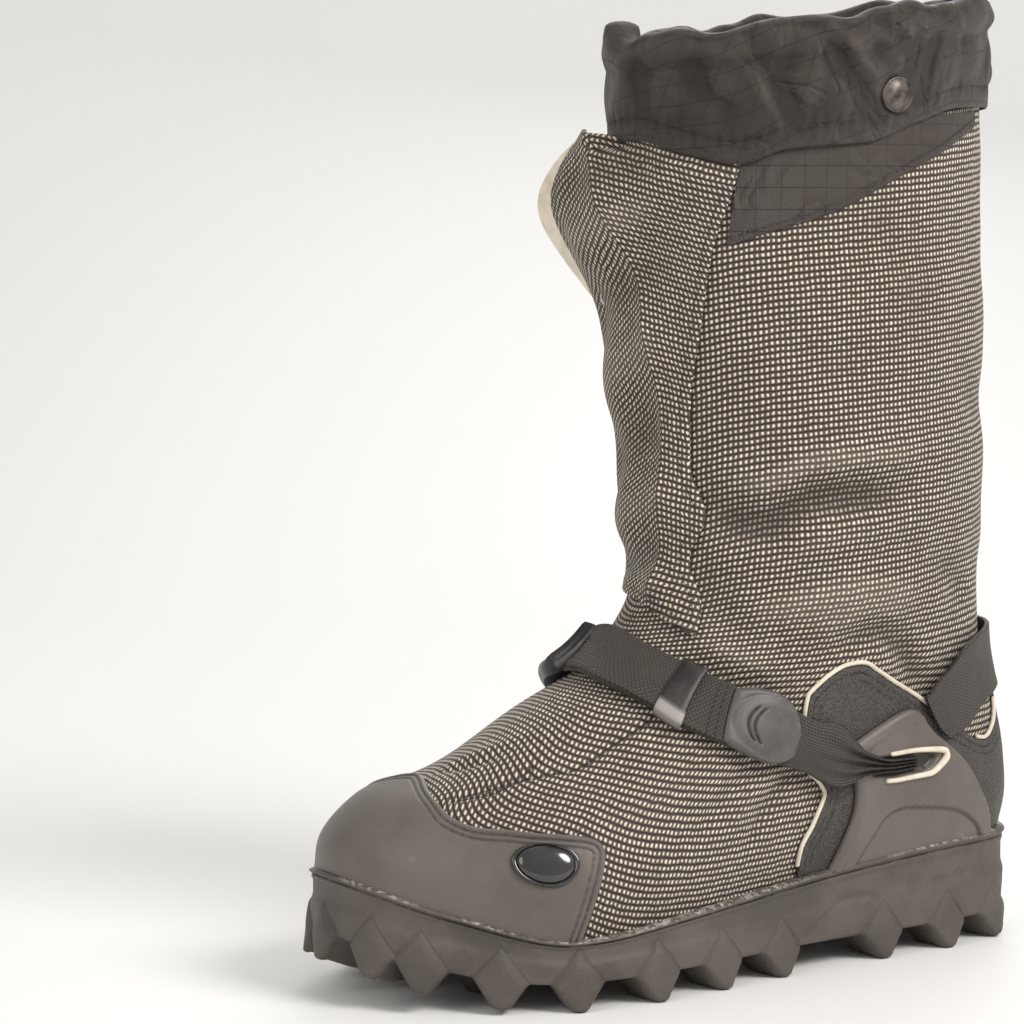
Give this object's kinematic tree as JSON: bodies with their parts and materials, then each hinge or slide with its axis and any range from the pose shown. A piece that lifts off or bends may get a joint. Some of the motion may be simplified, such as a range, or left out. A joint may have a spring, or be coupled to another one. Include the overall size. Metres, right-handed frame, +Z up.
{
  "type": "winter overshoe",
  "caption": "Tall winter overshoe for the left foot: lugged rubber sole, woven cloth shaft, rubber toe cap, grained heel counter, instep strap with side-release buckle.",
  "frame": {"origin": "on the floor, under the middle of the shoe's box", "axes": "+Z up the shaft, -Y towards the toe, +X towards the outer side of the left foot"},
  "size_m": [0.1345, 0.3207, 0.3881],
  "materials": {
    "sole_rubber": "matt moulded rubber",
    "insole_felt": "matt felt",
    "woven_cloth": "coarse woven cloth",
    "cap_rubber": "smooth satin rubber",
    "counter_grain": "grained, matt",
    "black_ripstop": "gathered ripstop",
    "cream_piping": "satin",
    "hook_tape": "hook tape",
    "black_webbing": "ribbed webbing",
    "black_plastic": "satin",
    "tab_rubber": "satin",
    "badge_gloss": "glossy",
    "snap_metal": "dark plated"
  },
  "bodies": {
    "root": {"outsole": "sole_rubber", "insole": "insole_felt", "upper": "woven_cloth", "toe_cap": "cap_rubber", "heel_counter": "counter_grain", "side_plate_outer": "cap_rubber", "side_plate_inner": "cap_rubber", "slot_edging_outer": "cream_piping", "slot_edging_inner": "cream_piping", "counter_piping_outer": "cream_piping", "counter_piping_inner": "cream_piping", "heel_piping_outer": "cream_piping", "heel_piping_inner": "cream_piping", "collar_cuff": "black_ripstop", "yoke_outer": "black_ripstop", "yoke_inner": "black_ripstop", "front_flap": "woven_cloth", "flap_facing": "cream_piping", "closure_strip": "hook_tape", "instep_strap": "black_webbing", "strap_tail": "black_webbing", "buckle_strap": "black_webbing", "heel_strap": "black_webbing", "buckle_ladder": "black_plastic", "buckle_socket": "black_plastic", "strap_keeper": "black_plastic", "strap_end_tab": "tab_rubber", "badge": "badge_gloss", "snap_outer": "snap_metal", "snap_inner": "snap_metal", "snap_back": "snap_metal", "pull_loop": "black_webbing"}
  },
  "joints": []
}
